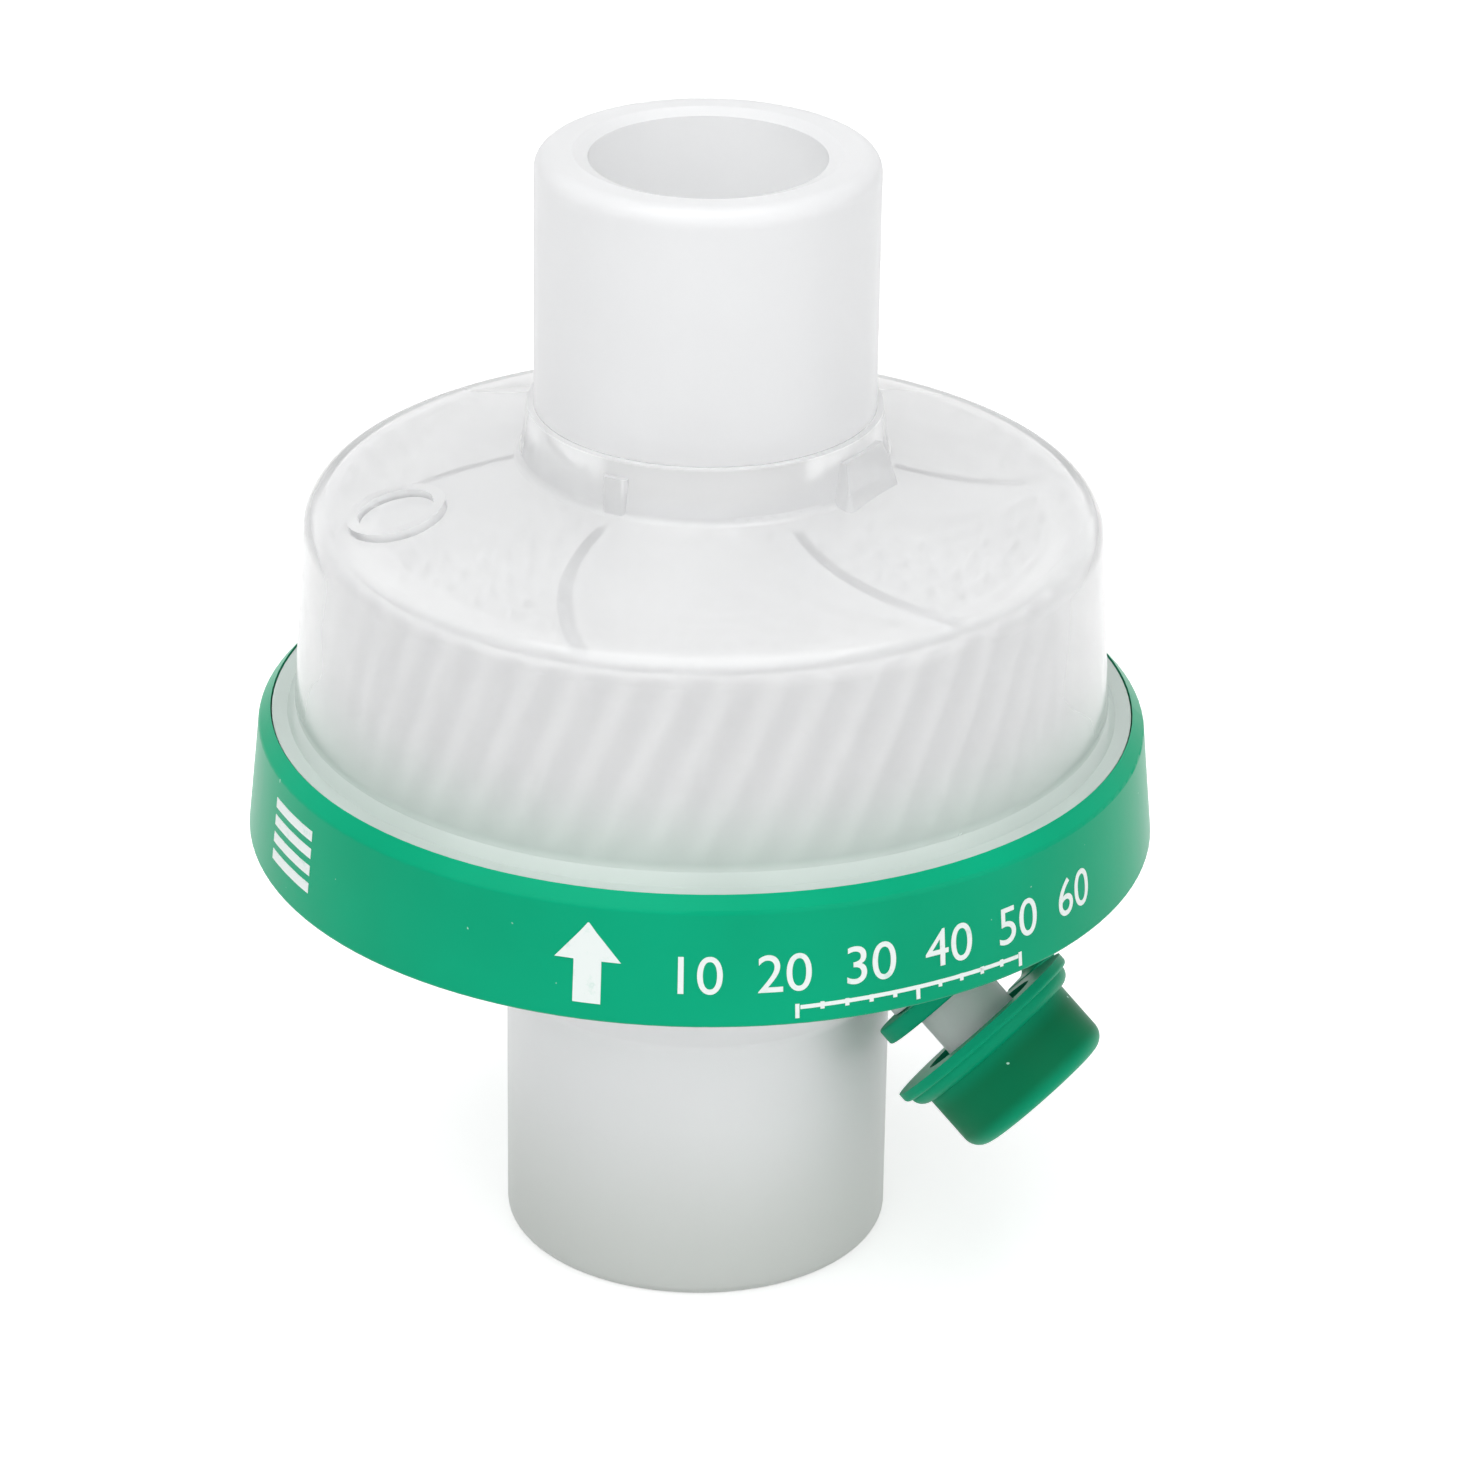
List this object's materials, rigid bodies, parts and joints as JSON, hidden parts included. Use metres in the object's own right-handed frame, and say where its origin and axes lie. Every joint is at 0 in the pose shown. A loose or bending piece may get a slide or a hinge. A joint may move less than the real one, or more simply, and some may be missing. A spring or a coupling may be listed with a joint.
{
  "type": "breathing circuit filter",
  "caption": "Breathing circuit filter with a heat and moisture exchanger: a clear round housing between coaxial ports, a colour ring over its weld, and a tethered sampling cap.",
  "frame": {"origin": "centre of the machine port's open end, on the surface that the filter stands on", "axes": "+Z along the flow axis from the machine port to the patient port; the sampling port points outward at -25.5 degrees from +X"},
  "size_m": [0.0594, 0.0594, 0.0758],
  "materials": {
    "clear_plastic": "clear polypropylene, glossy",
    "frosted_plastic": "clear polypropylene, satin",
    "green_ring": "green moulded plastic, semi-gloss",
    "filter_felt": "white electrostatic felt",
    "crepe_paper": "white corrugated paper",
    "green_cap": "green soft plastic, satin"
  },
  "bodies": {
    "filter": {"upper_housing": "clear_plastic", "lower_housing": "frosted_plastic", "colour_ring": "green_ring", "filter_membrane": "filter_felt", "hme_roll": "crepe_paper", "cap_tether": "green_cap"},
    "cap": {"luer_cap": "green_cap"}
  },
  "joints": [
    {"name": "cap_pull", "type": "slide", "parent": "filter", "child": "cap", "axis": [0.6739, -0.3214, -0.6652], "range_m": [0, 0.0065], "deforming": ["cap_tether"]}
  ]
}
